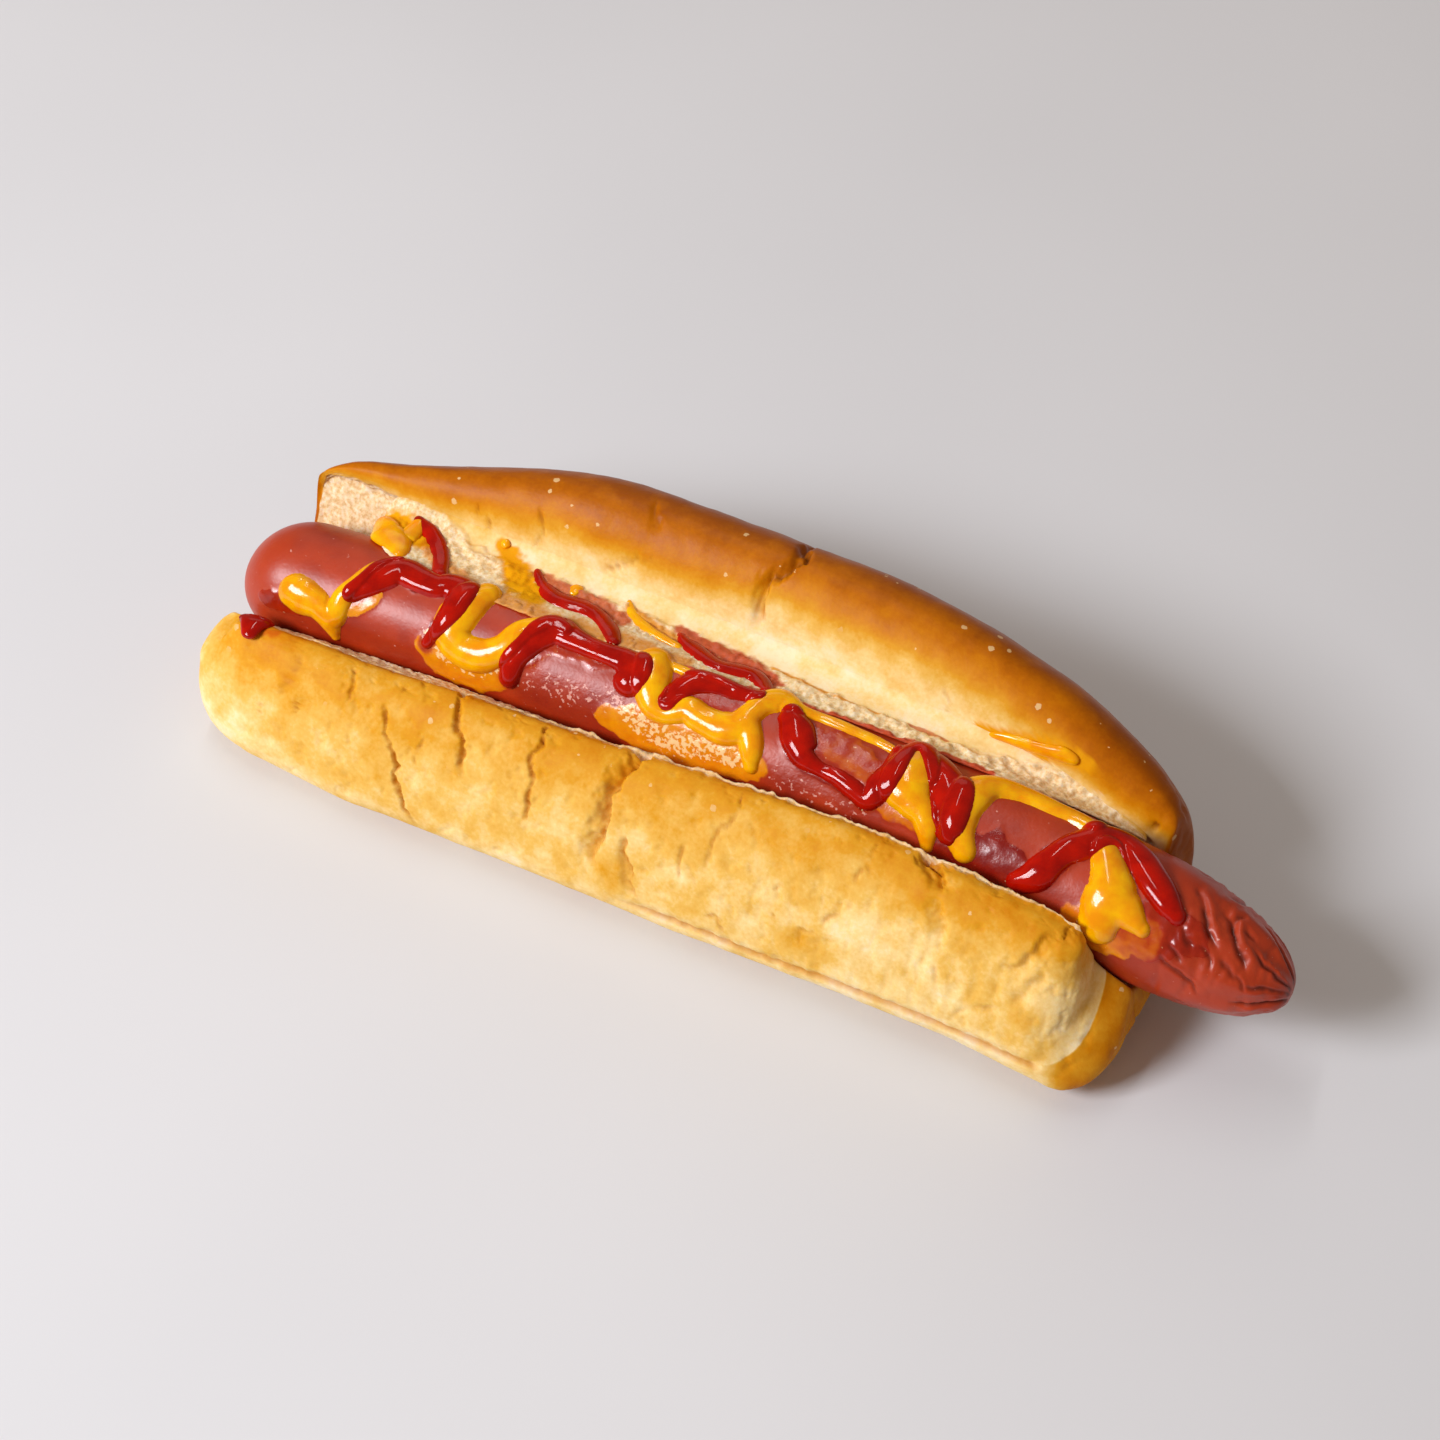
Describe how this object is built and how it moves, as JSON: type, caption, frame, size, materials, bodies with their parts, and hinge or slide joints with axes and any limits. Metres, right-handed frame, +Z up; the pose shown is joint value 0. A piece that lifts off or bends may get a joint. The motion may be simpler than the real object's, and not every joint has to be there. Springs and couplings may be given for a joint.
{
  "type": "hot dog",
  "caption": "Long soft bun, cut and opened upwards, holding a bowed frankfurter with swings of mustard and ketchup over its top.",
  "frame": {"origin": "centre of the whole hot dog in plan, on the surface that it stands on", "axes": "+X along the sausage, from its blunt end to its tapered end; +Y towards the brown, higher lobe of the bun; +Z up"},
  "size_m": [0.193, 0.066, 0.0419],
  "materials": {
    "bun": "baked bread crust, golden brown, with a pale crumb on the cut faces",
    "sausage": "moist reddish skin with glossy mustard and ketchup on top"
  },
  "bodies": {
    "root": {"bun": "bun", "sausage": "sausage"}
  },
  "joints": []
}
